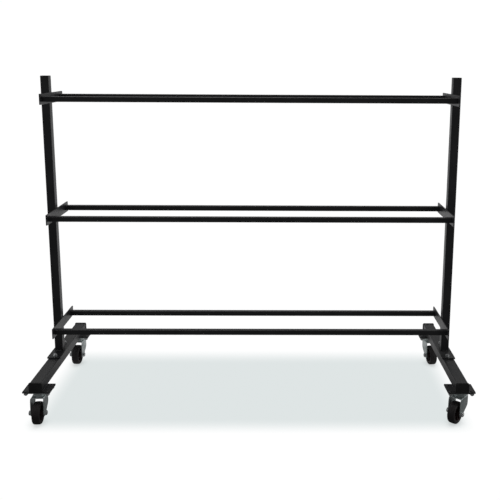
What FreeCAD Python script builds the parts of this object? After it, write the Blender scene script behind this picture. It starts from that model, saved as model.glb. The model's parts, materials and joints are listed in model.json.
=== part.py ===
"""Mobile saddle rack: two uprights on wheeled base legs carry three tiers of paired rails.

Frame: +X runs along the rails, -Y is the front, +Z is up. The origin is on the floor, under
the middle of the outline. All sizes are in millimetres.
"""
import FreeCAD, Part
import math
import os

os.makedirs("parts", exist_ok=True)
V = FreeCAD.Vector

# ---------------------------------------------------------------- driving dimensions
RACK_WIDTH = 2000.0          # over the outer faces of the two uprights
RACK_HEIGHT = 1586.0         # floor to the top of the upright caps
UPRIGHT_SIZE = 40.0          # square tube
UPRIGHT_WALL = 2.5
UPRIGHT_CORNER = 4.0
CAP_THICKNESS = 4.0
CAP_ROUNDING = 1.8
CAP_SPIGOT_CORNER = 2.0

RAIL_SIZE = 25.0             # square tube
RAIL_WALL = 2.0
RAIL_CORNER = 3.5
RAIL_OFFSET = 131.0          # rail centre to the uprights' centre plane
RAIL_CENTRES = {"bottom": 355.6, "middle": 918.6, "top": 1482.2}
INSERT_LENGTH = 28.0         # threaded block in each rail end
INSERT_CORNER = 1.6
INSERT_CLEARANCE = 0.3
RAIL_BOLT_RADIUS = 4.0       # M8
RAIL_BOLT_LENGTH = 28.0
RAIL_HEAD_RADIUS = 8.5
RAIL_HEAD_HEIGHT = 5.5
SOCKET_ACROSS = 5.0
SOCKET_DEPTH = 3.0
RAIL_WASHER_RADIUS = 11.0
WASHER_THICKNESS = 2.0

ARM_LENGTH = 336.0
ARM_HEIGHT = 50.0
ARM_THICKNESS = 5.0
ARM_CORNER = 3.0

LEG_WIDTH = 57.0             # rectangular tube
LEG_HEIGHT = 45.0
LEG_WALL = 3.0
LEG_CORNER = 5.0
LEG_LENGTH = 746.0
LEG_TOP = 203.0
PLUG_FLANGE = 5.0            # how far an end plug stands out of its tube
PLUG_PROUD = 3.0             # how far its flange overlaps the tube all round
PLUG_ROUNDING = 3.5
PLUG_DEPTH = 18.0
PLUG_WALL = 3.0
PLUG_CORNER = 2.5
PLUG_CLEARANCE = 0.4         # spigot to tube wall, both sides together

FOOT_LENGTH = 210.0
FOOT_WIDTH = 66.0
FOOT_THICKNESS = 6.0
FOOT_CORNER = 3.0
FOOT_BOLT_OFFSET = 80.0      # bolt centre to the uprights' centre plane
FOOT_BOLT_RADIUS = 5.0       # M10
FOOT_HEAD_HEIGHT = 6.4
FOOT_WASHER_RADIUS = 10.5
NUT_ACROSS = 17.0
NUT_HEIGHT = 8.0
THREAD_SHOWING = 3.0         # how far a bolt's end stands out of its nut
HOLE_CLEARANCE = 0.5         # radial, round bolts in plates
THREAD_CLEARANCE = 0.02      # radial, round threads and pressed fits

PAD_WIDTH = 128.0
PAD_DEPTH = 90.0
PAD_THICKNESS = 6.0
PAD_CORNER = 4.0

WHEEL_RADIUS = 52.0
TREAD_WIDTH = 36.0
TREAD_FLAT = 9.0             # half width of the nearly flat middle of the tread
SHOULDER_DROP = 6.5
TRAIL = 35.0                 # swivel axis to wheel axis
PLATE_WIDTH = 118.0
PLATE_DEPTH = 84.0
PLATE_THICKNESS = 3.5
PLATE_CORNER = 9.0
CASTER_BOLT_X = 100.0        # bolt pattern of the caster plates
CASTER_BOLT_Y = 66.0
CASTER_BOLT_RADIUS = 5.0     # M10
CASTER_HEAD_RADIUS = 9.5
CASTER_HEAD_TOP_RADIUS = 6.0
CASTER_HEAD_HEIGHT = 2.6
SKIRT_BOTTOM = 139.0
SKIRT_INNER = 28.0
SKIRT_LOW_RADIUS = 30.0
SKIRT_HIGH_RADIUS = 33.0
BALL_RADIUS = 3.0
BALL_COUNT = 16
BALL_CIRCLE = 19.0
BALL_GAP = 0.3               # top plate to the balls
KINGPIN_RADIUS = 6.0
KINGPIN_HEAD_RADIUS = 10.5
KINGPIN_HEAD_HEIGHT = 4.0
KINGPIN_HEAD_ROUNDING = 2.5

FORK_WIDTH = 62.0
FORK_SHEET = 3.0
FORK_BEND = 6.0
CROWN_TOP = 127.0
CUP_TOP = 141.9
CUP_LOW_RADIUS = 26.5
CUP_HIGH_RADIUS = 24.5
FORK_REAR = 29.0             # rear edge of the sides behind the swivel axis
FORK_KNEE = 78.0             # height where the rear edge turns in towards the axle
FORK_KNEE_ROUNDING = 25.0
FORK_FRONT_TOP = 41.0        # front edge of the sides ahead of the swivel axis
FORK_FRONT_LOW = 46.0
FORK_FRONT_DROP = 16.0
AXLE_BOSS_RADIUS = 15.0
AXLE_RADIUS = 6.0
AXLE_NUT_ACROSS = 19.0
AXLE_NUT_HEIGHT = 10.0
AXLE_END = 1.5               # how far the stud stands out of its nuts
SLEEVE_RADIUS = 8.0
HUB_LENGTH = 54.0
HUB_RADIUS = 15.0
RIM_RADIUS = 38.0
RIM_WIDTH = 31.0
RIM_WALL = 4.5
WEB_THICKNESS = 7.0
RIB_COUNT = 6
RIB_THICKNESS = 3.5
RUNNING_GAP = 0.05           # radial clearance of each turning fit

# ---------------------------------------------------------------- places
# The front casters point forwards, so the uprights stand behind the middle of the outline.
PLUGGED_LEG_HALF = LEG_LENGTH / 2 + PLUG_FLANGE
CASTER_OFFSET = LEG_LENGTH / 2 - PAD_DEPTH / 2
FRONT_REACH = CASTER_OFFSET + TRAIL + WHEEL_RADIUS
UPRIGHT_Y = (FRONT_REACH - PLUGGED_LEG_HALF) / 2
UPRIGHT_X = (RACK_WIDTH - UPRIGHT_SIZE) / 2
ARM_OUTER_X = RACK_WIDTH / 2 - UPRIGHT_SIZE
ARM_INNER_X = ARM_OUTER_X - ARM_THICKNESS
LEG_BOTTOM = LEG_TOP - LEG_HEIGHT
PAD_BOTTOM = LEG_BOTTOM - PAD_THICKNESS
PLATE_BOTTOM = PAD_BOTTOM - PLATE_THICKNESS
CROWN_BOTTOM = CROWN_TOP - FORK_SHEET
AXLE = V(0, -TRAIL, WHEEL_RADIUS)
SIDES = {"left": -1, "right": 1}
RAIL_SIDES = {"front": -1, "rear": 1}
# Each caster's place and how far it is turned about its swivel axis, in degrees.
CASTERS = {
    "front_left": (-UPRIGHT_X, UPRIGHT_Y - CASTER_OFFSET, 3.0),
    "front_right": (UPRIGHT_X, UPRIGHT_Y - CASTER_OFFSET, -40.0),
    "rear_left": (-UPRIGHT_X, UPRIGHT_Y + CASTER_OFFSET, -2.0),
    "rear_right": (UPRIGHT_X, UPRIGHT_Y + CASTER_OFFSET, 7.0),
}


# ---------------------------------------------------------------- shared shapes
def save(name, solids):
    """Write one node: a single solid, or a group of separate like solids."""
    if isinstance(solids, list):
        shape = Part.makeCompound(solids)
    else:
        shape = solids
    shape.exportStep("parts/" + name + ".step")


def block(size, centre):
    """An upright box of the given size about its centre."""
    low = V(centre[0] - size[0] / 2, centre[1] - size[1] / 2, centre[2] - size[2] / 2)
    return Part.makeBox(size[0], size[1], size[2], low)


def rounded_block(size, centre, radius, along):
    """A box whose four edges along one axis are rounded."""
    body = block(size, centre)
    edges = []
    for edge in body.Edges:
        direction = edge.tangentAt(edge.FirstParameter)
        if abs(direction.dot(along)) > 0.99:
            edges.append(edge)
    return body.makeFillet(radius, edges)


def rod(radius, start, direction, length):
    """A round bar from a start point."""
    return Part.makeCylinder(radius, length, start, direction)


def hexagon(across_flats, start, direction, length):
    """A six-sided nut or head from the start point on, with its corners turned off at both ends."""
    corner = across_flats / math.sqrt(3)
    turned = 0.49 * across_flats
    slope = (corner - turned) * math.tan(math.radians(30))
    points = []
    for step in range(7):
        angle = math.radians(60 * step + 30)
        points.append(V(corner * math.cos(angle), corner * math.sin(angle), 0))
    prism = Part.Face(Part.makePolygon(points)).extrude(V(0, 0, length))
    outline = [V(0, 0, 0), V(turned, 0, 0), V(corner, 0, slope), V(corner, 0, length - slope)]
    outline += [V(turned, 0, length), V(0, 0, length), V(0, 0, 0)]
    blank = Part.Face(Part.makePolygon(outline)).revolve(V(0, 0, 0), V(0, 0, 1), 360)
    nut = prism.common(blank)
    nut.Placement = FreeCAD.Placement(start, FreeCAD.Rotation(V(0, 0, 1), direction))
    return nut


def plain_hexagon(across_flats, start, direction, length):
    """A plain six-sided prism, such as a socket."""
    corner = across_flats / math.sqrt(3)
    points = []
    for step in range(7):
        angle = math.radians(60 * step)
        points.append(V(corner * math.cos(angle), corner * math.sin(angle), 0))
    prism = Part.Face(Part.makePolygon(points)).extrude(V(0, 0, length))
    prism.Placement = FreeCAD.Placement(start, FreeCAD.Rotation(V(0, 0, 1), direction))
    return prism


def ring(outer, inner, start, direction, length):
    """A round tube or washer."""
    return rod(outer, start, direction, length).cut(rod(inner, start, direction, length))


def square_tube(width, height, wall, corner, size_along, centre, axis):
    """A hollow tube with rounded corners along the X, Y or Z axis."""
    sizes = {"x": (size_along, width, height), "y": (width, size_along, height)}
    sizes["z"] = (width, height, size_along)
    vectors = {"x": V(1, 0, 0), "y": V(0, 1, 0), "z": V(0, 0, 1)}
    outer = rounded_block(sizes[axis], centre, corner, vectors[axis])
    inner_size = []
    for name, value in zip("xyz", sizes[axis]):
        if name == axis:
            inner_size.append(value + 2)
        else:
            inner_size.append(value - 2 * wall)
    inner = rounded_block(inner_size, centre, corner - wall * 0.8, vectors[axis])
    return outer.cut(inner)


# ---------------------------------------------------------------- base legs
def foot_bolt_places(side):
    """The two bolts that hold one upright's foot plate down, on the leg's centre line."""
    places = []
    for end in (-1, 1):
        places.append(V(side * UPRIGHT_X, UPRIGHT_Y + end * FOOT_BOLT_OFFSET, 0))
    return places


def base_leg(side):
    """A rectangular tube drilled through for the foot bolts."""
    centre = (side * UPRIGHT_X, UPRIGHT_Y, LEG_TOP - LEG_HEIGHT / 2)
    leg = square_tube(LEG_WIDTH, LEG_HEIGHT, LEG_WALL, LEG_CORNER, LEG_LENGTH, centre, "y")
    for place in foot_bolt_places(side):
        start = V(place.x, place.y, LEG_BOTTOM - 1)
        leg = leg.cut(rod(FOOT_BOLT_RADIUS + HOLE_CLEARANCE, start, V(0, 0, 1), LEG_HEIGHT + 2))
    return leg


def leg_end_plug(side, end):
    """A plastic plug: a rounded flange over the tube's end and a hollow ribbed spigot in it."""
    end_y = UPRIGHT_Y + end * LEG_LENGTH / 2
    x = side * UPRIGHT_X
    z = LEG_TOP - LEG_HEIGHT / 2
    flange_size = (LEG_WIDTH + 2 * PLUG_PROUD, PLUG_FLANGE, LEG_HEIGHT + 2 * PLUG_PROUD)
    flange_y = end_y + end * PLUG_FLANGE / 2
    flange = rounded_block(flange_size, (x, flange_y, z), LEG_CORNER + PLUG_PROUD, V(0, 1, 0))
    rim = []
    for edge in flange.Edges:
        outer_face = end * (edge.CenterOfMass.y - end_y) > PLUG_FLANGE - 0.01
        if outer_face:
            rim.append(edge)
    flange = flange.makeFillet(PLUG_ROUNDING, rim)
    inner_width = LEG_WIDTH - 2 * LEG_WALL - PLUG_CLEARANCE
    inner_height = LEG_HEIGHT - 2 * LEG_WALL - PLUG_CLEARANCE
    spigot_y = end_y - end * PLUG_DEPTH / 2
    size = (inner_width, PLUG_DEPTH, inner_height)
    spigot = rounded_block(size, (x, spigot_y, z), PLUG_CORNER, V(0, 1, 0))
    hollow_size = (inner_width - 2 * PLUG_WALL, PLUG_DEPTH, inner_height - 2 * PLUG_WALL)
    hollow = block(hollow_size, (x, spigot_y - end * PLUG_WALL, z))
    return flange.fuse(spigot.cut(hollow)).removeSplitter()


def caster_pad(x, y):
    """A steel plate welded under a leg's end, drilled for the caster bolts."""
    centre = (x, y, LEG_BOTTOM - PAD_THICKNESS / 2)
    pad = rounded_block((PAD_WIDTH, PAD_DEPTH, PAD_THICKNESS), centre, PAD_CORNER, V(0, 0, 1))
    for place in caster_bolt_places(x, y):
        start = place - V(0, 0, 1)
        pad = pad.cut(rod(CASTER_BOLT_RADIUS + HOLE_CLEARANCE, start, V(0, 0, 1), PAD_THICKNESS + 2))
    return pad


# ---------------------------------------------------------------- uprights and feet
def upright(side):
    """A square tube that stands on its foot plate."""
    bottom = LEG_TOP + FOOT_THICKNESS
    top = RACK_HEIGHT - CAP_THICKNESS
    centre = (side * UPRIGHT_X, UPRIGHT_Y, (bottom + top) / 2)
    length = top - bottom
    return square_tube(UPRIGHT_SIZE, UPRIGHT_SIZE, UPRIGHT_WALL, UPRIGHT_CORNER, length, centre, "z")


def upright_cap(side):
    """A plastic cap with a spigot inside the tube."""
    x = side * UPRIGHT_X
    bottom = RACK_HEIGHT - CAP_THICKNESS
    centre = (x, UPRIGHT_Y, bottom + CAP_THICKNESS / 2)
    size = (UPRIGHT_SIZE, UPRIGHT_SIZE, CAP_THICKNESS)
    cap = rounded_block(size, centre, UPRIGHT_CORNER, V(0, 0, 1))
    rim = []
    for edge in cap.Edges:
        if edge.CenterOfMass.z > RACK_HEIGHT - 0.01:
            rim.append(edge)
    cap = cap.makeFillet(CAP_ROUNDING, rim)
    inner = UPRIGHT_SIZE - 2 * UPRIGHT_WALL - PLUG_CLEARANCE
    middle = bottom - PLUG_DEPTH / 2
    spigot = rounded_block((inner, inner, PLUG_DEPTH), (x, UPRIGHT_Y, middle), CAP_SPIGOT_CORNER, V(0, 0, 1))
    hollow_size = (inner - 2 * PLUG_WALL, inner - 2 * PLUG_WALL, PLUG_DEPTH)
    hollow = block(hollow_size, (x, UPRIGHT_Y, middle - PLUG_WALL))
    return cap.fuse(spigot.cut(hollow)).removeSplitter()


def foot_plate(side):
    """The plate welded under an upright and bolted to its leg."""
    centre = (side * UPRIGHT_X, UPRIGHT_Y, LEG_TOP + FOOT_THICKNESS / 2)
    plate = rounded_block((FOOT_WIDTH, FOOT_LENGTH, FOOT_THICKNESS), centre, FOOT_CORNER, V(0, 0, 1))
    for place in foot_bolt_places(side):
        start = V(place.x, place.y, LEG_TOP - 1)
        plate = plate.cut(rod(FOOT_BOLT_RADIUS + HOLE_CLEARANCE, start, V(0, 0, 1), FOOT_THICKNESS + 2))
    return plate


def foot_fasteners():
    """Bolts down through foot plate and leg, with a washer under the head and the nut."""
    bolts = []
    washers = []
    nuts = []
    top = LEG_TOP + FOOT_THICKNESS
    head_z = top + WASHER_THICKNESS
    nut_top = LEG_BOTTOM - WASHER_THICKNESS
    shank_end = nut_top - NUT_HEIGHT - THREAD_SHOWING
    hole_radius = FOOT_BOLT_RADIUS + THREAD_CLEARANCE
    for side in SIDES.values():
        for place in foot_bolt_places(side):
            x, y = place.x, place.y
            head = hexagon(NUT_ACROSS, V(x, y, head_z), V(0, 0, 1), FOOT_HEAD_HEIGHT)
            shank = rod(FOOT_BOLT_RADIUS, V(x, y, shank_end), V(0, 0, 1), head_z - shank_end)
            bolts.append(head.fuse(shank))
            for z in (top, nut_top):
                place_here = V(x, y, z)
                washer_hole = FOOT_BOLT_RADIUS + HOLE_CLEARANCE
                washer = ring(FOOT_WASHER_RADIUS, washer_hole, place_here, V(0, 0, 1), WASHER_THICKNESS)
                washers.append(washer)
            nut = hexagon(NUT_ACROSS, V(x, y, nut_top), V(0, 0, -1), NUT_HEIGHT)
            nuts.append(nut.cut(rod(hole_radius, V(x, y, shank_end), V(0, 0, 1), nut_top - shank_end + 1)))
    return bolts, washers, nuts


# ---------------------------------------------------------------- arms and rails
def arm(side, level):
    """A flat bar on the inner face of an upright, drilled for its two rail bolts."""
    x = side * (ARM_INNER_X + ARM_THICKNESS / 2)
    z = RAIL_CENTRES[level]
    size = (ARM_THICKNESS, ARM_LENGTH, ARM_HEIGHT)
    bar = rounded_block(size, (x, UPRIGHT_Y, z), ARM_CORNER, V(1, 0, 0))
    for end in RAIL_SIDES.values():
        start = V(x - ARM_THICKNESS, UPRIGHT_Y + end * RAIL_OFFSET, z)
        bar = bar.cut(rod(RAIL_BOLT_RADIUS + HOLE_CLEARANCE, start, V(1, 0, 0), 2 * ARM_THICKNESS))
    return bar


def rail(level, end):
    """A square tube between a left and a right arm."""
    centre = (0, UPRIGHT_Y + RAIL_SIDES[end] * RAIL_OFFSET, RAIL_CENTRES[level])
    return square_tube(RAIL_SIZE, RAIL_SIZE, RAIL_WALL, RAIL_CORNER, 2 * ARM_INNER_X, centre, "x")


def button_bolt(start, outward):
    """A round-head bolt with a hexagon socket; its head starts at the washer's face."""
    sphere_radius = (RAIL_HEAD_RADIUS ** 2 + RAIL_HEAD_HEIGHT ** 2) / (2 * RAIL_HEAD_HEIGHT)
    centre = start + outward * (RAIL_HEAD_HEIGHT - sphere_radius)
    column = rod(RAIL_HEAD_RADIUS, start, outward, RAIL_HEAD_HEIGHT + 1)
    dome = Part.makeSphere(sphere_radius, centre).common(column)
    socket_start = start + outward * (RAIL_HEAD_HEIGHT - SOCKET_DEPTH)
    socket = plain_hexagon(SOCKET_ACROSS, socket_start, outward, SOCKET_DEPTH + 1)
    shank = rod(RAIL_BOLT_RADIUS, start - outward * RAIL_BOLT_LENGTH, outward, RAIL_BOLT_LENGTH + 0.5)
    return dome.cut(socket).fuse(shank)


def rail_fasteners():
    """For each rail end: a threaded block inside the tube, a round-head bolt and its washer."""
    inserts = []
    bolts = []
    washers = []
    inner = RAIL_SIZE - 2 * RAIL_WALL - INSERT_CLEARANCE
    thread_radius = RAIL_BOLT_RADIUS + THREAD_CLEARANCE
    washer_hole = RAIL_BOLT_RADIUS + HOLE_CLEARANCE
    for side in SIDES.values():
        outward = V(side, 0, 0)
        for z in RAIL_CENTRES.values():
            for end in RAIL_SIDES.values():
                y = UPRIGHT_Y + end * RAIL_OFFSET
                centre = (side * (ARM_INNER_X - INSERT_LENGTH / 2), y, z)
                insert = rounded_block((INSERT_LENGTH, inner, inner), centre, INSERT_CORNER, V(1, 0, 0))
                thread_start = V(side * (ARM_INNER_X - INSERT_LENGTH - 1), y, z)
                inserts.append(insert.cut(rod(thread_radius, thread_start, outward, INSERT_LENGTH + 2)))
                washer_start = V(side * ARM_OUTER_X, y, z)
                washer = ring(RAIL_WASHER_RADIUS, washer_hole, washer_start, outward, WASHER_THICKNESS)
                washers.append(washer)
                head_start = V(side * (ARM_OUTER_X + WASHER_THICKNESS), y, z)
                bolts.append(button_bolt(head_start, outward))
    return inserts, bolts, washers


# ---------------------------------------------------------------- casters: fixed pieces
def caster_bolt_places(x, y):
    """The four bolt axes of one caster, at the height of the pad's lower face."""
    places = []
    for along_x in (-1, 1):
        for along_y in (-1, 1):
            place = V(x + along_x * CASTER_BOLT_X / 2, y + along_y * CASTER_BOLT_Y / 2, PAD_BOTTOM)
            places.append(place)
    return places


def top_plate(x, y):
    """The caster's mounting plate, with a skirt round its ball race."""
    centre = (x, y, PLATE_BOTTOM + PLATE_THICKNESS / 2)
    plate = rounded_block((PLATE_WIDTH, PLATE_DEPTH, PLATE_THICKNESS), centre, PLATE_CORNER, V(0, 0, 1))
    skirt_height = PLATE_BOTTOM - SKIRT_BOTTOM
    skirt = Part.makeCone(SKIRT_LOW_RADIUS, SKIRT_HIGH_RADIUS, skirt_height + 0.5, V(x, y, SKIRT_BOTTOM))
    skirt = skirt.cut(rod(SKIRT_INNER, V(x, y, SKIRT_BOTTOM - 1), V(0, 0, 1), skirt_height + 1))
    plate = plate.fuse(skirt)
    pin_start = V(x, y, PLATE_BOTTOM - 1)
    plate = plate.cut(rod(KINGPIN_RADIUS + THREAD_CLEARANCE, pin_start, V(0, 0, 1), PLATE_THICKNESS + 2))
    for place in caster_bolt_places(x, y):
        start = V(place.x, place.y, PLATE_BOTTOM - 1)
        plate = plate.cut(rod(CASTER_BOLT_RADIUS + HOLE_CLEARANCE, start, V(0, 0, 1), PLATE_THICKNESS + 2))
    return plate


def kingpin(x, y):
    """The rivet on which the fork turns, with its lower head under the crown."""
    head_bottom = CROWN_BOTTOM - BALL_GAP - KINGPIN_HEAD_HEIGHT
    pin = rod(KINGPIN_RADIUS, V(x, y, head_bottom), V(0, 0, 1), PAD_BOTTOM - head_bottom)
    head = rod(KINGPIN_HEAD_RADIUS, V(x, y, head_bottom), V(0, 0, 1), KINGPIN_HEAD_HEIGHT)
    rim = []
    for edge in head.Edges:
        if edge.CenterOfMass.z < head_bottom + 0.01 and len(edge.Vertexes) == 1:
            rim.append(edge)
    return pin.fuse(head.makeFillet(KINGPIN_HEAD_ROUNDING, rim))


def swivel_balls(x, y):
    """The ring of balls between the top plate and the fork's cup."""
    balls = []
    z = PLATE_BOTTOM - BALL_GAP - BALL_RADIUS
    for index in range(BALL_COUNT):
        angle = 2 * math.pi * index / BALL_COUNT
        centre = V(x + BALL_CIRCLE * math.cos(angle), y + BALL_CIRCLE * math.sin(angle), z)
        balls.append(Part.makeSphere(BALL_RADIUS, centre))
    return balls


def caster_fasteners(x, y):
    """Low-head bolts down through the pad and plate, and their nuts."""
    bolts = []
    nuts = []
    shank_end = PLATE_BOTTOM - NUT_HEIGHT - THREAD_SHOWING
    hole_radius = CASTER_BOLT_RADIUS + THREAD_CLEARANCE
    for place in caster_bolt_places(x, y):
        head_place = V(place.x, place.y, LEG_BOTTOM)
        head = Part.makeCone(CASTER_HEAD_RADIUS, CASTER_HEAD_TOP_RADIUS, CASTER_HEAD_HEIGHT, head_place)
        shank_place = V(place.x, place.y, shank_end)
        shank = rod(CASTER_BOLT_RADIUS, shank_place, V(0, 0, 1), LEG_BOTTOM - shank_end)
        bolts.append(head.fuse(shank))
        nut = hexagon(NUT_ACROSS, V(place.x, place.y, PLATE_BOTTOM), V(0, 0, -1), NUT_HEIGHT)
        nuts.append(nut.cut(rod(hole_radius, shank_place, V(0, 0, 1), PLATE_BOTTOM - shank_end + 1)))
    return bolts, nuts


# ---------------------------------------------------------------- casters: turning pieces
def tangent_point(outside, centre, radius, side):
    """Where a line from an outside point (y, z) touches a circle; side is +1 or -1."""
    dy = outside[0] - centre[0]
    dz = outside[1] - centre[1]
    reach = math.hypot(dy, dz)
    angle = math.atan2(dz, dy) + side * math.acos(radius / reach)
    return (centre[0] + radius * math.cos(angle), centre[1] + radius * math.sin(angle))


def fork_side_outline():
    """The fork's outline seen from the side, as a face in the Y-Z plane."""
    rear_top = (FORK_REAR, CROWN_TOP)
    rear_knee = (FORK_REAR, FORK_KNEE)
    front_top = (-FORK_FRONT_TOP, CROWN_TOP)
    front_low = (-FORK_FRONT_LOW, CROWN_TOP - FORK_FRONT_DROP)
    boss = (-TRAIL, WHEEL_RADIUS)
    rear_touch = tangent_point(rear_knee, boss, AXLE_BOSS_RADIUS, -1)
    front_touch = tangent_point(front_low, boss, AXLE_BOSS_RADIUS, 1)
    lowest = V(0, boss[0], boss[1] - AXLE_BOSS_RADIUS)
    places = (rear_touch, rear_knee, rear_top, front_top, front_low, front_touch)
    corners = [V(0, y, z) for y, z in places]
    edges = [Part.LineSegment(a, b).toShape() for a, b in zip(corners, corners[1:])]
    edges.append(Part.Arc(corners[-1], lowest, corners[0]).toShape())
    return Part.Face(Part.Wire(edges))


def fork():
    """A bent sheet fork: crown, two tapering sides, and the cup that carries the balls."""
    outline = fork_side_outline()
    outline.translate(V(-FORK_WIDTH / 2, 0, 0))
    body = outline.extrude(V(FORK_WIDTH, 0, 0))
    knees = []
    for edge in body.Edges:
        middle = edge.CenterOfMass
        if abs(middle.x) < 0.01 and abs(middle.y - FORK_REAR) < 0.01 and abs(middle.z - FORK_KNEE) < 0.01:
            knees.append(edge)
    body = body.makeFillet(FORK_KNEE_ROUNDING, knees)
    bends = []
    for edge in body.Edges:
        middle = edge.CenterOfMass
        is_top = abs(middle.z - CROWN_TOP) < 0.01
        if is_top and abs(abs(middle.x) - FORK_WIDTH / 2) < 0.01:
            bends.append(edge)
    body = body.makeFillet(FORK_BEND, bends)
    slot_width = FORK_WIDTH - 2 * FORK_SHEET
    body = body.cut(block((slot_width, 200.0, CROWN_BOTTOM), (0, 0, CROWN_BOTTOM / 2)))
    cup_height = CUP_TOP - CROWN_TOP
    body = body.fuse(Part.makeCone(CUP_LOW_RADIUS, CUP_HIGH_RADIUS, cup_height, V(0, 0, CROWN_TOP)))
    pin_length = cup_height + FORK_SHEET + 2
    pin_hole = rod(KINGPIN_RADIUS + RUNNING_GAP, V(0, 0, CROWN_BOTTOM - 1), V(0, 0, 1), pin_length)
    axle_start = V(-FORK_WIDTH, AXLE.y, AXLE.z)
    axle_hole = rod(AXLE_RADIUS + THREAD_CLEARANCE, axle_start, V(1, 0, 0), 2 * FORK_WIDTH)
    return body.cut(pin_hole).cut(axle_hole)


def tyre():
    """A solid tyre with a rounded tread, turned about the axle."""
    half = TREAD_WIDTH / 2
    shoulder = WHEEL_RADIUS - SHOULDER_DROP
    inner = RIM_RADIUS + RUNNING_GAP
    tread_edge_radius = WHEEL_RADIUS - 0.6
    wall_foot = V(half - 1, 0, inner)
    wall_top = V(half, 0, shoulder)
    turn = V(half - 2.4, 0, WHEEL_RADIUS - 2.6)
    tread_edge = V(TREAD_FLAT, 0, tread_edge_radius)
    mirror = [V(-point.x, 0, point.z) for point in (wall_foot, wall_top, turn, tread_edge)]
    edges = [
        Part.LineSegment(mirror[0], mirror[1]).toShape(),
        Part.Arc(mirror[1], mirror[2], mirror[3]).toShape(),
        Part.Arc(mirror[3], V(0, 0, WHEEL_RADIUS), tread_edge).toShape(),
        Part.Arc(tread_edge, turn, wall_top).toShape(),
        Part.LineSegment(wall_top, wall_foot).toShape(),
        Part.LineSegment(wall_foot, mirror[0]).toShape(),
    ]
    solid = Part.Face(Part.Wire(edges)).revolve(V(0, 0, 0), V(1, 0, 0), 360)
    solid.translate(AXLE)
    return solid


def wheel_core():
    """The wheel's moulded centre: rim, web with ribs, and a hub that runs on the sleeve."""
    x_axis = V(1, 0, 0)
    rim = ring(RIM_RADIUS, RIM_RADIUS - RIM_WALL, V(-RIM_WIDTH / 2, 0, 0), x_axis, RIM_WIDTH)
    web = rod(RIM_RADIUS - 3, V(-WEB_THICKNESS / 2, 0, 0), x_axis, WEB_THICKNESS)
    hub = rod(HUB_RADIUS, V(-HUB_LENGTH / 2, 0, 0), x_axis, HUB_LENGTH)
    core = rim.fuse(web).fuse(hub)
    rib_reach = RIM_RADIUS - RIM_WALL + 1
    for index in range(RIB_COUNT):
        rib = block((RIM_WIDTH - 6, RIB_THICKNESS, rib_reach), (0, 0, rib_reach / 2))
        rib.rotate(V(0, 0, 0), x_axis, 360.0 * index / RIB_COUNT)
        core = core.fuse(rib)
    core = core.removeSplitter()
    core = core.cut(rod(SLEEVE_RADIUS + RUNNING_GAP, V(-HUB_LENGTH, 0, 0), x_axis, 2 * HUB_LENGTH))
    core.translate(AXLE)
    return core


def axle_sleeve():
    """The steel bush between the fork's sides, on which the hub turns."""
    length = FORK_WIDTH - 2 * FORK_SHEET
    start = V(-length / 2, AXLE.y, AXLE.z)
    return ring(SLEEVE_RADIUS, AXLE_RADIUS + THREAD_CLEARANCE, start, V(1, 0, 0), length)


def axle():
    """A threaded stud through fork and sleeve."""
    half = FORK_WIDTH / 2 + AXLE_NUT_HEIGHT + AXLE_END
    stud = rod(AXLE_RADIUS, V(-half, AXLE.y, AXLE.z), V(1, 0, 0), 2 * half)
    return stud.makeChamfer(1.0, [edge for edge in stud.Edges if len(edge.Vertexes) == 1])


def axle_nuts():
    """The two nuts that clamp the fork's sides on the sleeve."""
    nuts = []
    for side in (-1, 1):
        outward = V(side, 0, 0)
        start = V(side * FORK_WIDTH / 2, AXLE.y, AXLE.z)
        nut = hexagon(AXLE_NUT_ACROSS, start, outward, AXLE_NUT_HEIGHT)
        hole = rod(AXLE_RADIUS + THREAD_CLEARANCE, start - outward, outward, AXLE_NUT_HEIGHT + 2)
        nuts.append(nut.cut(hole))
    return nuts


def at_caster(solid, place):
    """Turn a piece about its swivel axis and move it to its caster."""
    x, y, turn = place
    placed = solid.copy()
    placed.rotate(V(0, 0, 0), V(0, 0, 1), turn)
    placed.translate(V(x, y, 0))
    return placed


# ---------------------------------------------------------------- build every node
for side_name, side in SIDES.items():
    save(side_name + "_base_leg", base_leg(side))
    save(side_name + "_upright", upright(side))
    save(side_name + "_foot_plate", foot_plate(side))
    for level in RAIL_CENTRES:
        save(level + "_" + side_name + "_arm", arm(side, level))

save("leg_end_plugs", [leg_end_plug(side, end) for side in (-1, 1) for end in (-1, 1)])
save("upright_caps", [upright_cap(side) for side in (-1, 1)])

for level in RAIL_CENTRES:
    for end in RAIL_SIDES:
        save(level + "_" + end + "_rail", rail(level, end))

foot_bolts, foot_washers, foot_nuts = foot_fasteners()
save("foot_bolts", foot_bolts)
save("foot_washers", foot_washers)
save("foot_nuts", foot_nuts)

rail_inserts, rail_bolts, rail_washers = rail_fasteners()
save("rail_end_inserts", rail_inserts)
save("rail_bolts", rail_bolts)
save("rail_washers", rail_washers)

pads = []
plates = []
kingpins = []
balls = []
caster_bolts = []
caster_nuts = []
for x, y, turn in CASTERS.values():
    pads.append(caster_pad(x, y))
    plates.append(top_plate(x, y))
    kingpins.append(kingpin(x, y))
    balls.extend(swivel_balls(x, y))
    bolts_here, nuts_here = caster_fasteners(x, y)
    caster_bolts.extend(bolts_here)
    caster_nuts.extend(nuts_here)
save("caster_pads", pads)
save("caster_top_plates", plates)
save("caster_kingpins", kingpins)
save("caster_swivel_balls", balls)
save("caster_bolts", caster_bolts)
save("caster_nuts", caster_nuts)

turning_pieces = {"fork": fork(), "tyre": tyre(), "wheel_core": wheel_core(), "axle_sleeve": axle_sleeve()}
turning_pieces["axle"] = axle()
turning_nuts = axle_nuts()
for caster_name, place in CASTERS.items():
    for piece_name, solid in turning_pieces.items():
        save(caster_name + "_" + piece_name, at_caster(solid, place))
    save(caster_name + "_axle_nuts", [at_caster(nut, place) for nut in turning_nuts])
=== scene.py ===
import json
import math
import random

import bpy
from mathutils import Matrix, Vector


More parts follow.
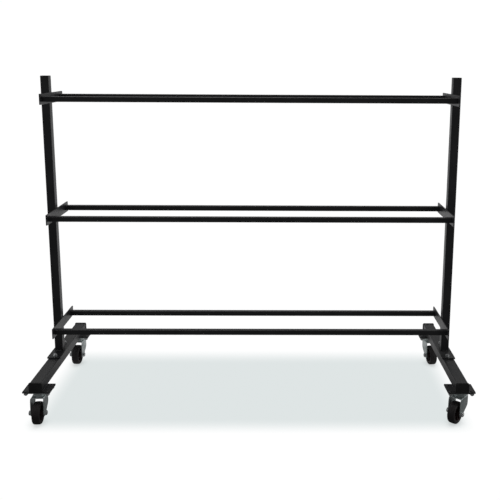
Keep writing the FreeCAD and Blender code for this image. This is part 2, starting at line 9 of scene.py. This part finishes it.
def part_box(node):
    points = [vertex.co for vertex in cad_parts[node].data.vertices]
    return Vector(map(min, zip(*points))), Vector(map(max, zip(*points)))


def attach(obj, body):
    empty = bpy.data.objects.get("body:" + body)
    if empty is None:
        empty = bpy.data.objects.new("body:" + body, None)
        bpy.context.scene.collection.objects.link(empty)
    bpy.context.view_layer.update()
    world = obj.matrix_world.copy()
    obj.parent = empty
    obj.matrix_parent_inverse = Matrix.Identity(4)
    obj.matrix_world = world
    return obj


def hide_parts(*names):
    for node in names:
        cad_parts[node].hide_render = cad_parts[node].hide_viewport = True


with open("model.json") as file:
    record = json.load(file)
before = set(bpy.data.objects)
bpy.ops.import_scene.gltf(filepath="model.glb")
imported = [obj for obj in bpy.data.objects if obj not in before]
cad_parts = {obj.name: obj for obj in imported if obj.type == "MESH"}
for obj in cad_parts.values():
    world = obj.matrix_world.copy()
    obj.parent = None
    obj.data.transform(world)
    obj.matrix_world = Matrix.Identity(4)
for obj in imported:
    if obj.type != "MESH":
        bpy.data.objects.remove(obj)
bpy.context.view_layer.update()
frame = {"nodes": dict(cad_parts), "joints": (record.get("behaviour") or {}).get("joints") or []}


# ---------------------------------------------------------------- base legs
# Two rectangular steel tubes that run front to back on the casters. They are cut, drilled for the
# foot bolts and powder coated black. The coat is satin, with a fine pebble and thin corners.
LEG_NODES = ("left_base_leg", "right_base_leg")
COAT_BLACK = (0.022, 0.0222, 0.0242, 1.0)
COAT_GREY = (0.032, 0.0325, 0.0355, 1.0)
BARE_EDGE = (0.10, 0.10, 0.105, 1.0)
SHOP_DUST = (0.21, 0.205, 0.19, 1.0)
COAT_EDGE = 0.0011             # metres of thin coat along a corner
PEBBLE_SCALE = 1500.0
ORANGE_PEEL_SCALE = 240.0
PEBBLE_DEPTH = 0.00012
DUST_DULLING = 0.45


def group_sockets(tree, takes, gives):
    """Add named number or colour sockets to a node group."""
    for name, kind, value in takes:
        socket = tree.interface.new_socket(name, in_out="INPUT", socket_type=kind)
        if value is not None:
            socket.default_value = value
    for name, kind in gives:
        tree.interface.new_socket(name, in_out="OUTPUT", socket_type=kind)
    return tree.nodes.new("NodeGroupInput"), tree.nodes.new("NodeGroupOutput")


def noise(tree, vector, scale, detail=3.0, roughness=0.55):
    """A noise texture on the given coordinates; scale may be a number or a socket."""
    node = tree.nodes.new("ShaderNodeTexNoise")
    node.inputs["Detail"].default_value = detail
    node.inputs["Roughness"].default_value = roughness
    tree.links.new(vector, node.inputs["Vector"])
    if isinstance(scale, (int, float)):
        node.inputs["Scale"].default_value = scale
    else:
        tree.links.new(scale, node.inputs["Scale"])
    return node.outputs["Fac"]


def maths(tree, operation, first, second, clamp=False):
    """A math node on two inputs, each a number or a socket."""
    node = tree.nodes.new("ShaderNodeMath")
    node.operation = operation
    node.use_clamp = clamp
    for socket, value in zip(node.inputs, (first, second)):
        if isinstance(value, (int, float)):
            socket.default_value = value
        else:
            tree.links.new(value, socket)
    return node.outputs[0]


def stretch(tree, value, low, high, to_low=0.0, to_high=1.0):
    """Map a value's range to another range, clamped and smoothed."""
    node = tree.nodes.new("ShaderNodeMapRange")
    node.interpolation_type = "SMOOTHSTEP"
    tree.links.new(value, node.inputs["Value"])
    node.inputs["From Min"].default_value = low
    node.inputs["From Max"].default_value = high
    node.inputs["To Min"].default_value = to_low
    node.inputs["To Max"].default_value = to_high
    return node.outputs["Result"]


def blend_colours(tree, mask, first, second):
    """Mix two colours, each a tuple or a socket, by a mask."""
    node = tree.nodes.new("ShaderNodeMix")
    node.data_type = "RGBA"
    tree.links.new(mask, node.inputs["Factor"])
    for socket, value in ((node.inputs[6], first), (node.inputs[7], second)):
        if isinstance(value, tuple):
            socket.default_value = value
        else:
            tree.links.new(value, socket)
    return node.outputs[2]


def make_edge_wear():
    """Mask of worn corners: where a rounded normal leaves the true one, broken up by noise."""
    tree = bpy.data.node_groups.new("edge_wear", "ShaderNodeTree")
    takes = (("Width", "NodeSocketFloat", 0.001), ("Patch Scale", "NodeSocketFloat", 60.0),
             ("Amount", "NodeSocketFloat", 0.5))
    entry, leave = group_sockets(tree, takes, (("Mask", "NodeSocketFloat"),))
    place = tree.nodes.new("ShaderNodeTexCoord").outputs["Object"]
    bevel = tree.nodes.new("ShaderNodeBevel")
    bevel.samples = 4
    tree.links.new(entry.outputs["Width"], bevel.inputs["Radius"])
    shape = tree.nodes.new("ShaderNodeNewGeometry")
    product = tree.nodes.new("ShaderNodeVectorMath")
    product.operation = "DOT_PRODUCT"
    tree.links.new(bevel.outputs["Normal"], product.inputs[0])
    tree.links.new(shape.outputs["Normal"], product.inputs[1])
    corner = stretch(tree, product.outputs["Value"], 0.995, 0.90)
    patches = stretch(tree, noise(tree, place, entry.outputs["Patch Scale"], 5.0), 0.42, 0.62)
    worn = maths(tree, "MULTIPLY", corner, patches)
    tree.links.new(maths(tree, "MULTIPLY", worn, entry.outputs["Amount"], True), leave.inputs["Mask"])
    return tree


def make_settled_dust():
    """Mask of thin dust on faces that look up, thicker in soft patches."""
    tree = bpy.data.node_groups.new("settled_dust", "ShaderNodeTree")
    takes = (("Patch Scale", "NodeSocketFloat", 9.0), ("Amount", "NodeSocketFloat", 0.3))
    entry, leave = group_sockets(tree, takes, (("Mask", "NodeSocketFloat"),))
    place = tree.nodes.new("ShaderNodeTexCoord").outputs["Object"]
    facing = tree.nodes.new("ShaderNodeSeparateXYZ")
    tree.links.new(tree.nodes.new("ShaderNodeNewGeometry").outputs["Normal"], facing.inputs[0])
    upward = stretch(tree, facing.outputs["Z"], 0.35, 0.98)
    patches = stretch(tree, noise(tree, place, entry.outputs["Patch Scale"], 6.0, 0.65), 0.35, 0.75)
    specks = stretch(tree, noise(tree, place, 900.0, 2.0), 0.50, 0.70, 0.55, 1.0)
    dust = maths(tree, "MULTIPLY", maths(tree, "MULTIPLY", upward, patches), specks)
    tree.links.new(maths(tree, "MULTIPLY", dust, entry.outputs["Amount"], True), leave.inputs["Mask"])
    return tree


def make_coat_pebble():
    """Height of a sprayed coat: a fine pebble over a slow orange-peel wave."""
    tree = bpy.data.node_groups.new("coat_pebble", "ShaderNodeTree")
    takes = (("Pebble Scale", "NodeSocketFloat", 1400.0), ("Wave Scale", "NodeSocketFloat", 260.0))
    entry, leave = group_sockets(tree, takes, (("Height", "NodeSocketFloat"), ("Cloud", "NodeSocketFloat")))
    place = tree.nodes.new("ShaderNodeTexCoord").outputs["Object"]
    pebble = noise(tree, place, entry.outputs["Pebble Scale"], 2.0)
    wave = noise(tree, place, entry.outputs["Wave Scale"], 2.0)
    height = maths(tree, "ADD", maths(tree, "MULTIPLY", pebble, 0.45), maths(tree, "MULTIPLY", wave, 0.55))
    tree.links.new(height, leave.inputs["Height"])
    tree.links.new(noise(tree, place, 7.0, 4.0), leave.inputs["Cloud"])
    return tree


EDGE_WEAR = make_edge_wear()
SETTLED_DUST = make_settled_dust()
COAT_PEBBLE = make_coat_pebble()


def new_material(name):
    """An empty node material: its tree, its Principled shader."""
    material = bpy.data.materials.new(name)
    material.use_nodes = True
    return material, material.node_tree, material.node_tree.nodes["Principled BSDF"]


def use_group(tree, group, **values):
    """Place a shared effect in a material with its own values."""
    node = tree.nodes.new("ShaderNodeGroup")
    node.node_tree = group
    for name, value in values.items():
        node.inputs[name.replace("_", " ")].default_value = value
    return node.outputs


def bump(tree, shader, height, distance):
    """Feed a height to the shader's normal; distance is in metres."""
    node = tree.nodes.new("ShaderNodeBump")
    node.inputs["Strength"].default_value = 1.0
    node.inputs["Distance"].default_value = distance
    tree.links.new(height, node.inputs["Height"])
    tree.links.new(node.outputs["Normal"], shader.inputs["Normal"])


def make_powder_coat(name, edge_amount=0.55, dust_amount=0.24, rough=0.36):
    """Satin black powder coat on steel."""
    material, tree, shader = new_material(name)
    pebble = use_group(tree, COAT_PEBBLE, Pebble_Scale=PEBBLE_SCALE, Wave_Scale=ORANGE_PEEL_SCALE)
    wear = use_group(tree, EDGE_WEAR, Width=COAT_EDGE, Patch_Scale=45.0, Amount=edge_amount)["Mask"]
    dust = use_group(tree, SETTLED_DUST, Patch_Scale=8.0, Amount=dust_amount)["Mask"]
    coat = blend_colours(tree, stretch(tree, pebble["Cloud"], 0.35, 0.68), COAT_BLACK, COAT_GREY)
    worn = blend_colours(tree, wear, coat, BARE_EDGE)
    tree.links.new(blend_colours(tree, dust, worn, SHOP_DUST), shader.inputs["Base Color"])
    gloss = stretch(tree, pebble["Cloud"], 0.30, 0.70, rough - 0.05, rough + 0.07)
    dulled = maths(tree, "ADD", gloss, maths(tree, "MULTIPLY", dust, DUST_DULLING), True)
    tree.links.new(dulled, shader.inputs["Roughness"])
    bump(tree, shader, pebble["Height"], PEBBLE_DEPTH)
    return material


def paint(material, *nodes):
    """Give CAD nodes a material in every slot."""
    for node in nodes:
        mesh = frame["nodes"][node].data
        if not mesh.materials:
            mesh.materials.append(material)
        for index in range(len(mesh.materials)):
            mesh.materials[index] = material


powder_coat = make_powder_coat("powder_coat")
paint(powder_coat, *LEG_NODES)


# ---------------------------------------------------------------- leg end plugs and upright caps
# Moulded black polyethylene, pushed into the open tube ends until the flange seats. They are matt,
# with a faint moulding texture and scuffs where boots and doors catch them.
MOULD_EDGE = 0.0015
MOULD_TEXTURE_SCALE = 1800.0
MOULD_TEXTURE_DEPTH = 0.00008


def make_moulded_plastic(name, colour, scuffed, rough=0.52):
    """Matt moulded plastic with fine texture and pale scuffs."""
    material, tree, shader = new_material(name)
    place = tree.nodes.new("ShaderNodeTexCoord").outputs["Object"]
    wear = use_group(tree, EDGE_WEAR, Width=MOULD_EDGE, Patch_Scale=70.0, Amount=0.5)["Mask"]
    cloud = noise(tree, place, 30.0, 5.0)
    base = blend_colours(tree, stretch(tree, cloud, 0.35, 0.7), colour, scuffed)
    tree.links.new(blend_colours(tree, wear, base, scuffed), shader.inputs["Base Color"])
    tree.links.new(stretch(tree, cloud, 0.3, 0.7, rough - 0.06, rough + 0.1), shader.inputs["Roughness"])
    bump(tree, shader, noise(tree, place, MOULD_TEXTURE_SCALE, 2.0), MOULD_TEXTURE_DEPTH)
    return material


plug_plastic = make_moulded_plastic("plug_plastic", (0.010, 0.010, 0.011, 1.0), (0.022, 0.022, 0.023, 1.0))
paint(plug_plastic, "leg_end_plugs", "upright_caps")


# ---------------------------------------------------------------- caster pads and their welds
# Flat plates welded under the leg ends, wider than the leg so that the caster bolts clear it. A run
# of weld lies along each side of the leg, under the same powder coat.
WELD_RIPPLE = 0.0022
WELD_SIDES = 10
WELD_SWELL = (0.92, 1.06)      # each ripple's own size, between these
RIPPLE_SHAPE = (1.0, 1.07, 0.94)
FIRST_WELD_SEED = 3
BODY_FRAME = "frame"


def weld_run(vertices, faces, start, end, radius, seed):
    """Add one rippled weld bead between two points to a growing mesh."""
    chance = random.Random(seed)
    run = end - start
    along = run.normalized()
    across = along.orthogonal().normalized()
    other = along.cross(across)
    steps = max(6, round(run.length / WELD_RIPPLE) * 3)
    first = len(vertices)
    swell = 1.0
    for step in range(steps + 1):
        if step % 3 == 0:
            swell = chance.uniform(*WELD_SWELL)
        taper = min(1.0, 4.0 * step / steps + 0.35, 4.0 * (steps - step) / steps + 0.35)
        ripple = RIPPLE_SHAPE[step % len(RIPPLE_SHAPE)]
        for side in range(WELD_SIDES):
            angle = 2 * math.pi * side / WELD_SIDES
            reach = radius * swell * ripple * taper
            offset = across * math.cos(angle) * reach + other * math.sin(angle) * reach
            vertices.append(start + run * (step / steps) + offset)
    for step in range(steps):
        for side in range(WELD_SIDES):
            near = first + step * WELD_SIDES
            far = near + WELD_SIDES
            after = (side + 1) % WELD_SIDES
            faces.append((near + side, near + after, far + after, far + side))
    faces.append(tuple(first + side for side in reversed(range(WELD_SIDES))))
    last = first + steps * WELD_SIDES
    faces.append(tuple(last + side for side in range(WELD_SIDES)))


def weld_piece(name, runs, radius):
    """A group of weld beads as one smooth mesh on the frame."""
    vertices = []
    faces = []
    for index, (start, end) in enumerate(runs):
        weld_run(vertices, faces, Vector(start), Vector(end), radius, index + FIRST_WELD_SEED)
    mesh = bpy.data.meshes.new(name)
    mesh.from_pydata(vertices, [], faces)
    mesh.validate()
    for polygon in mesh.polygons:
        polygon.use_smooth = True
    mesh.materials.append(powder_coat)
    piece = bpy.data.objects.new(name, mesh)
    bpy.context.collection.objects.link(piece)
    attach(piece, BODY_FRAME)


paint(powder_coat, "caster_pads")
pads_low, pads_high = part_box("caster_pads")
PAD_DEPTH = 0.090
PAD_WELD_INSET = 0.008
PAD_WELD_RADIUS = 0.0027
PAD_WELD_TUCK = 0.0008         # how far the bead's centre sits inside the leg's side
PAD_WELD_LIFT = 0.0012
for leg_name in LEG_NODES:
    low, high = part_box(leg_name)
    runs = []
    for end_start in (pads_low.y, pads_high.y - PAD_DEPTH):
        weld_from = end_start + PAD_WELD_INSET
        weld_to = end_start + PAD_DEPTH - PAD_WELD_INSET
        z = low.z + PAD_WELD_LIFT
        for x in (low.x + PAD_WELD_TUCK, high.x - PAD_WELD_TUCK):
            runs.append(((x, weld_from, z), (x, weld_to, z)))
    weld_piece(leg_name.replace("base_leg", "pad_welds"), runs, PAD_WELD_RADIUS)


# ---------------------------------------------------------------- uprights, foot plates and bolts
# Each square upright stands on a welded foot plate, and two hexagon bolts with washers hold the
# plate down through the leg. Tube and plate are powder coated together; the bolts are bright zinc.
UPRIGHT_NODES = ("left_upright", "right_upright")
paint(powder_coat, *UPRIGHT_NODES)
paint(powder_coat, "left_foot_plate", "right_foot_plate")
UPRIGHT_CORNER = 0.004
FOOT_WELD_RADIUS = 0.0025
FOOT_WELD_LIFT = 0.001
FOOT_WELD_CLEAR = 0.001        # how far a bead stops short of the tube's corner
for upright_name in UPRIGHT_NODES:
    low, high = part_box(upright_name)
    inset = UPRIGHT_CORNER + FOOT_WELD_CLEAR
    z = low.z + FOOT_WELD_LIFT
    runs = [((low.x + inset, y, z), (high.x - inset, y, z)) for y in (low.y, high.y)]
    runs += [((x, low.y + inset, z), (x, high.y - inset, z)) for x in (low.x, high.x)]
    weld_piece(upright_name.replace("upright", "foot_welds"), runs, FOOT_WELD_RADIUS)


ZINC_METAL = 0.75
ZINC_BLOTCH_SCALE = 26.0
ZINC_GRAIN_SCALE = 420.0
ZINC_GRAIN_DEPTH = 0.00006
ZINC_EDGE = 0.0006


def make_zinc(name, bright, dull, rough=0.30):
    """Bright zinc plate: metallic, blotched, with a light tarnish in patches."""
    material, tree, shader = new_material(name)
    place = tree.nodes.new("ShaderNodeTexCoord").outputs["Object"]
    cloud = noise(tree, place, ZINC_BLOTCH_SCALE, 5.0, 0.6)
    fine = noise(tree, place, ZINC_GRAIN_SCALE, 3.0)
    tone = blend_colours(tree, stretch(tree, cloud, 0.38, 0.66), bright, dull)
    wear = use_group(tree, EDGE_WEAR, Width=ZINC_EDGE, Patch_Scale=120.0, Amount=0.6)["Mask"]
    tree.links.new(blend_colours(tree, wear, tone, bright), shader.inputs["Base Color"])
    shader.inputs["Metallic"].default_value = ZINC_METAL
    rough_cloud = stretch(tree, cloud, 0.30, 0.72, rough - 0.06, rough + 0.14)
    tree.links.new(rough_cloud, shader.inputs["Roughness"])
    bump(tree, shader, fine, ZINC_GRAIN_DEPTH)
    return material


zinc_fasteners = make_zinc("zinc_fasteners", (0.72, 0.74, 0.75, 1.0), (0.48, 0.49, 0.49, 1.0))
paint(zinc_fasteners, "foot_bolts", "foot_washers", "foot_nuts")


# ---------------------------------------------------------------- arms
# Flat steel bars welded to the uprights' inner faces, one each side at every tier. A vertical bead
# runs down both edges of the upright, and a short one across the bar's top and bottom edge.
ARM_NODES = [f"{level}_{side}_arm" for level in ("bottom", "middle", "top") for side in ("left", "right")]
paint(powder_coat, *ARM_NODES)
ARM_WELD_RADIUS = 0.0022
ARM_WELD_ENDS = 0.003          # a vertical bead stops this far from the bar's edges
ARM_WELD_INSET = 0.0015        # from the upright's front and rear faces
ARM_WELD_OUTWARD = 0.0012
ARM_WELD_OVERLAP = 0.0006      # how far the short beads sit into the bar
CROSS_WELD_ENDS = 0.005
upright_low, upright_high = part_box("right_upright")
for arm_name in ARM_NODES:
    low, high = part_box(arm_name)
    outer_x = high.x if high.x > 0 else low.x
    outward = 1 if outer_x > 0 else -1
    runs = []
    for y in (upright_low.y + ARM_WELD_INSET, upright_high.y - ARM_WELD_INSET):
        x = outer_x + outward * ARM_WELD_OUTWARD
        runs.append(((x, y, low.z + ARM_WELD_ENDS), (x, y, high.z - ARM_WELD_ENDS)))
    for z in (low.z, high.z):
        x = outer_x - outward * ARM_WELD_OVERLAP
        runs.append(((x, upright_low.y + CROSS_WELD_ENDS, z), (x, upright_high.y - CROSS_WELD_ENDS, z)))
    weld_piece(arm_name.replace("_arm", "_arm_welds"), runs, ARM_WELD_RADIUS)


# ---------------------------------------------------------------- rails and their bolts
# Six square tubes in front and rear pairs. Each end butts against an arm and is held by one black
# round-head bolt and washer, which screw into a threaded block inside the tube.
rail_coat = make_powder_coat("rail_coat", edge_amount=0.22, dust_amount=0.14, rough=0.34)
RAIL_NODES = [f"{level}_{end}_rail" for level in ("bottom", "middle", "top") for end in ("front", "rear")]
paint(rail_coat, *RAIL_NODES)
paint(zinc_fasteners, "rail_end_inserts")
black_oxide = make_powder_coat("black_oxide", edge_amount=0.9, dust_amount=0.12, rough=0.42)
paint(black_oxide, "rail_bolts", "rail_washers")


# ---------------------------------------------------------------- caster plates, kingpins and balls
# The casters' fixed halves: a pressed zinc plate with a skirt round the ball race, the kingpin rivet
# and the balls, bolted up to the pads with low-head bolts and nuts.
zinc_plate = make_zinc("zinc_plate", (0.68, 0.73, 0.73, 1.0), (0.44, 0.49, 0.485, 1.0), rough=0.34)
paint(zinc_plate, "caster_top_plates")
paint(zinc_fasteners, "caster_kingpins", "caster_swivel_balls", "caster_nuts")
paint(black_oxide, "caster_bolts")


# ---------------------------------------------------------------- forks and axles
# Each fork is one bent zinc sheet that turns on the kingpin. A threaded stud with a nut at each end
# clamps its sides on a steel sleeve.
CASTER_NAMES = ("front_left", "front_right", "rear_left", "rear_right")
for caster in CASTER_NAMES:
    paint(zinc_plate, caster + "_fork")
    paint(zinc_fasteners, caster + "_axle_sleeve", caster + "_axle", caster + "_axle_nuts")


# ---------------------------------------------------------------- wheel cores and tyres
# A moulded dark core with ribs turns on the sleeve, and carries a solid rubber tyre with a rounded
# tread, a moulding line round its middle and a raised ring on each wall.
CORE_DARK = (0.020, 0.010, 0.010, 1.0)
CORE_SCUFFED = (0.035, 0.02, 0.019, 1.0)
core_plastic = make_moulded_plastic("core_plastic", CORE_DARK, CORE_SCUFFED, 0.45)
TYRE_BLACK = (0.0135, 0.0115, 0.0125, 1.0)
TYRE_BLOOM = (0.024, 0.019, 0.020, 1.0)
TYRE_GRIT = (0.075, 0.068, 0.062, 1.0)
TYRE_GRAIN_DEPTH = 0.00016
TYRE_RADIUS = 0.052
TYRE_HALF = 0.018
TYRE_INNER = 0.03806
TYRE_SHOULDER = 0.0065
TYRE_STEPS = 120
RING_RADII = (0.0400, 0.0411, 0.0423, 0.0431)  # the raised ring on a wall, foot to foot
TYRE_WALL_DIP = 0.0002         # the wall outside the raised ring sits this far in
SHOULDER_STEPS = 8
SHOULDER_REACH = 0.0080        # how far the rounding runs in along the tread
TREAD_DIP = 0.0005             # how far the tread's edge is below its middle


def make_tyre_rubber():
    """Dull black rubber, greyed on the tread, with a faint red-brown bloom on the walls."""
    material, tree, shader = new_material("tyre_rubber")
    place = tree.nodes.new("ShaderNodeTexCoord").outputs["Object"]
    cloud = noise(tree, place, 55.0, 5.0, 0.6)
    fine = noise(tree, place, 1300.0, 3.0)
    rubber = blend_colours(tree, stretch(tree, cloud, 0.35, 0.7), TYRE_BLACK, TYRE_BLOOM)
    grit = stretch(tree, noise(tree, place, 240.0, 4.0, 0.7), 0.58, 0.74, 0.0, 0.35)
    tree.links.new(blend_colours(tree, grit, rubber, TYRE_GRIT), shader.inputs["Base Color"])
    tree.links.new(stretch(tree, cloud, 0.3, 0.7, 0.58, 0.76), shader.inputs["Roughness"])
    bump(tree, shader, fine, TYRE_GRAIN_DEPTH)
    return material


tyre_rubber = make_tyre_rubber()


def tyre_outline():
    """The tyre's section as (along the axle, radius) points, from one inner edge round to the other."""
    half_side = [(TYRE_HALF - 0.0010, TYRE_INNER), (TYRE_HALF - 0.0004, RING_RADII[0])]
    half_side += [(TYRE_HALF, RING_RADII[1]), (TYRE_HALF, RING_RADII[2]), (TYRE_HALF - 0.0006, RING_RADII[3])]
    half_side.append((TYRE_HALF - TYRE_WALL_DIP, TYRE_RADIUS - TYRE_SHOULDER))
    for step in range(1, SHOULDER_STEPS + 1):
        angle = math.radians(90.0 * step / SHOULDER_STEPS)
        along = TYRE_HALF - TYRE_WALL_DIP - SHOULDER_REACH * (1 - math.cos(angle))
        radius = TYRE_RADIUS - TYRE_SHOULDER + (TYRE_SHOULDER - TREAD_DIP) * math.sin(angle)
        half_side.append((along, radius))
    half_side += [(0.0040, TYRE_RADIUS - 0.0003), (0.0007, TYRE_RADIUS - 0.0002), (0.0004, TYRE_RADIUS)]
    other_side = [(-along, radius) for along, radius in reversed(half_side)]
    return half_side + other_side


def lathe(name, outline, centre, axis, steps):
    """Turn a closed section about an axis through a centre."""
    across = Vector((0.0, 0.0, 1.0))
    third = axis.cross(across)
    vertices = []
    for step in range(steps):
        angle = 2 * math.pi * step / steps
        outward = across * math.cos(angle) + third * math.sin(angle)
        vertices += [centre + axis * along + outward * radius for along, radius in outline]
    count = len(outline)
    faces = []
    for step in range(steps):
        near = step * count
        far = (step + 1) % steps * count
        for point in range(count):
            after = (point + 1) % count
            faces.append((near + point, near + after, far + after, far + point))
    mesh = bpy.data.meshes.new(name)
    mesh.from_pydata(vertices, [], faces)
    mesh.validate()
    for polygon in mesh.polygons:
        polygon.use_smooth = True
    piece = bpy.data.objects.new(name, mesh)
    bpy.context.collection.objects.link(piece)
    return piece


roll_joints = {joint["name"]: joint for joint in frame["joints"] if joint["name"].endswith("_roll")}
for caster in CASTER_NAMES:
    paint(core_plastic, caster + "_wheel_core")
    joint = roll_joints[caster + "_roll"]
    centre, axis = Vector(joint["pos_m"]), Vector(joint["axis"])
    tyre = lathe(caster + "_tyre_moulded", tyre_outline(), centre, axis, TYRE_STEPS)
    tyre.data.materials.append(tyre_rubber)
    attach(tyre, caster + "_wheel")
    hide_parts(caster + "_tyre")


# ---------------------------------------------------------------- floor, light and camera
# A plain pale studio floor with a painted soft cool-grey shadow of the rack under it and a painted contact
# shadow close to the rack, a white sweep behind it that shows in the glossy black, and a dark studio in
# front. The camera stands right of centre and looks slightly down.
FLOOR_SIZE = 60.0
SEEN_WHITE = 1.02
# painted shadow under the rack: its emission strength and its cool tint on the floor
PAINTED_SHADOW_LEVEL = 0.783
PAINTED_SHADOW_TINT = (0.941, 1.0, 1.0, 1.0)
PLAIN_WHITE = (1.0, 1.0, 1.0, 1.0)
PAINTED_SHADOW_NEAR = (-0.46, -0.30)     # where the painted shadow fades in, from and to
PAINTED_SHADOW_FAR = (0.52, 0.30)
PAINTED_SHADOW_SIDES = (1.07, 0.93)
# reach of the painted contact shadow: the floor's emission is darkened by ambient occlusion within this
# distance of the rack
PAINTED_CONTACT_SHADOW_REACH = 0.05
FLOOR_LIGHT_FROM = -0.30       # the floor's light on the rack grows from here to behind it
FLOOR_LIGHT_TO = 1.20
FLOOR_LIGHT = (0.08, 0.60)


def make_floor_material():
    """White to the camera, with a painted soft cool-grey shadow of the rack between the wheels and a painted
    contact shadow near the rack; dim and even to everything else.
    """
    material = bpy.data.materials.new("studio_floor")
    material.use_nodes = True
    tree = material.node_tree
    tree.nodes.clear()
    place = tree.nodes.new("ShaderNodeTexCoord").outputs["Object"]
    parts = tree.nodes.new("ShaderNodeSeparateXYZ")
    tree.links.new(place, parts.inputs[0])
    # painted shadow: a soft cool grey under the rack between the wheels, painted into the floor's emission
    # colour and strength
    near = stretch(tree, parts.outputs["Y"], *PAINTED_SHADOW_NEAR)
    far = stretch(tree, parts.outputs["Y"], *PAINTED_SHADOW_FAR)
    sides = stretch(tree, maths(tree, "ABSOLUTE", parts.outputs["X"], 0.0), *PAINTED_SHADOW_SIDES)
    painted_shadow = maths(tree, "MULTIPLY", maths(tree, "MULTIPLY", near, far), sides)
    # painted contact shadow: ambient occlusion darkens the floor's emission where the rack is close
    corner = tree.nodes.new("ShaderNodeAmbientOcclusion")
    corner.samples = 8
    corner.inputs["Distance"].default_value = PAINTED_CONTACT_SHADOW_REACH
    painted_contact_shadow = stretch(tree, corner.outputs["AO"], 0.25, 0.95, 0.72, 1.0)
    seen_colour = tree.nodes.new("ShaderNodeEmission")
    tint = blend_colours(tree, painted_shadow, PLAIN_WHITE, PAINTED_SHADOW_TINT)
    tree.links.new(tint, seen_colour.inputs["Color"])
    falloff = maths(tree, "POWER", PAINTED_SHADOW_LEVEL / SEEN_WHITE, painted_shadow)
    seen_level = maths(tree, "MULTIPLY", maths(tree, "MULTIPLY", falloff, SEEN_WHITE), painted_contact_shadow)
    tree.links.new(seen_level, seen_colour.inputs["Strength"])
    given_light = tree.nodes.new("ShaderNodeEmission")
    given_level = stretch(tree, parts.outputs["Y"], FLOOR_LIGHT_FROM, FLOOR_LIGHT_TO, *FLOOR_LIGHT)
    tree.links.new(given_level, given_light.inputs["Strength"])
    choice = tree.nodes.new("ShaderNodeMixShader")
    tree.links.new(tree.nodes.new("ShaderNodeLightPath").outputs["Is Camera Ray"], choice.inputs[0])
    tree.links.new(given_light.outputs[0], choice.inputs[1])
    tree.links.new(seen_colour.outputs[0], choice.inputs[2])
    leave = tree.nodes.new("ShaderNodeOutputMaterial")
    tree.links.new(choice.outputs[0], leave.inputs["Surface"])
    return material


bpy.ops.mesh.primitive_plane_add(size=FLOOR_SIZE, location=(0.0, 0.0, 0.0))
floor = bpy.context.object
floor.name = "studio_floor"
floor.data.materials.append(make_floor_material())

SWEEP_LIGHT = 0.34             # the white sweep behind the rack
ROOM_LIGHT = 0.16              # the dim room all round
world = bpy.data.worlds.new("studio")
bpy.context.scene.world = world
world.use_nodes = True
world_tree = world.node_tree
world_tree.nodes.clear()
direction = world_tree.nodes.new("ShaderNodeSeparateXYZ")
world_tree.links.new(world_tree.nodes.new("ShaderNodeTexCoord").outputs["Generated"], direction.inputs[0])
behind = stretch(world_tree, direction.outputs["Y"], 0.15, 0.70)
low_down = stretch(world_tree, direction.outputs["Z"], 0.50, 0.32)
sweep = maths(world_tree, "MULTIPLY", maths(world_tree, "MULTIPLY", behind, low_down), SWEEP_LIGHT)
lighting = world_tree.nodes.new("ShaderNodeBackground")
world_tree.links.new(maths(world_tree, "ADD", sweep, ROOM_LIGHT), lighting.inputs["Strength"])
backdrop = world_tree.nodes.new("ShaderNodeBackground")
backdrop.inputs["Color"].default_value = PLAIN_WHITE
backdrop.inputs["Strength"].default_value = SEEN_WHITE
world_choice = world_tree.nodes.new("ShaderNodeMixShader")
is_seen = world_tree.nodes.new("ShaderNodeLightPath").outputs["Is Camera Ray"]
world_tree.links.new(is_seen, world_choice.inputs[0])
world_tree.links.new(lighting.outputs[0], world_choice.inputs[1])
world_tree.links.new(backdrop.outputs[0], world_choice.inputs[2])
world_out = world_tree.nodes.new("ShaderNodeOutputWorld")
world_tree.links.new(world_choice.outputs[0], world_out.inputs["Surface"])


def soft_light(name, place, aim, size, power):
    """A square area light that faces a point."""
    light = bpy.data.lights.new(name, "AREA")
    light.shape = "SQUARE"
    light.size = size
    light.energy = power
    holder = bpy.data.objects.new(name, light)
    bpy.context.collection.objects.link(holder)
    holder.location = place
    holder.rotation_euler = (Vector(aim) - Vector(place)).to_track_quat("-Z", "Y").to_euler()


soft_light("overhead_softbox", (-0.8, 0.3, 4.4), (0.0, 0.0, 0.6), 2.4, 34.0)
soft_light("left_softbox", (-4.2, -1.2, 2.2), (0.0, 0.0, 0.8), 1.8, 18.0)
soft_light("right_softbox", (4.4, -1.0, 1.6), (0.0, 0.0, 0.3), 1.8, 36.0)

CAMERA_PLACE = Vector((0.1267, -3.3582, 1.6571))
CAMERA_HEADING = math.radians(0.56)
CAMERA_DIP = math.radians(10.13)
CAMERA_ROLL = math.radians(0.31)
CAMERA_LENS = 50.4
camera_data = bpy.data.cameras.new("studio_camera")
camera_data.sensor_width = 36.0
camera_data.lens = CAMERA_LENS
camera_data.shift_x = -0.0692
camera_data.shift_y = -0.1266
camera_data.clip_end = 200.0
camera = bpy.data.objects.new("studio_camera", camera_data)
bpy.context.collection.objects.link(camera)
turn = Matrix.Rotation(-CAMERA_HEADING, 4, "Z")
tilt = Matrix.Rotation(math.pi / 2 - CAMERA_DIP, 4, "X")
roll = Matrix.Rotation(CAMERA_ROLL, 4, "Z")
camera.matrix_world = Matrix.Translation(CAMERA_PLACE) @ turn @ tilt @ roll
bpy.context.scene.camera = camera
bpy.context.scene.view_settings.view_transform = "Standard"
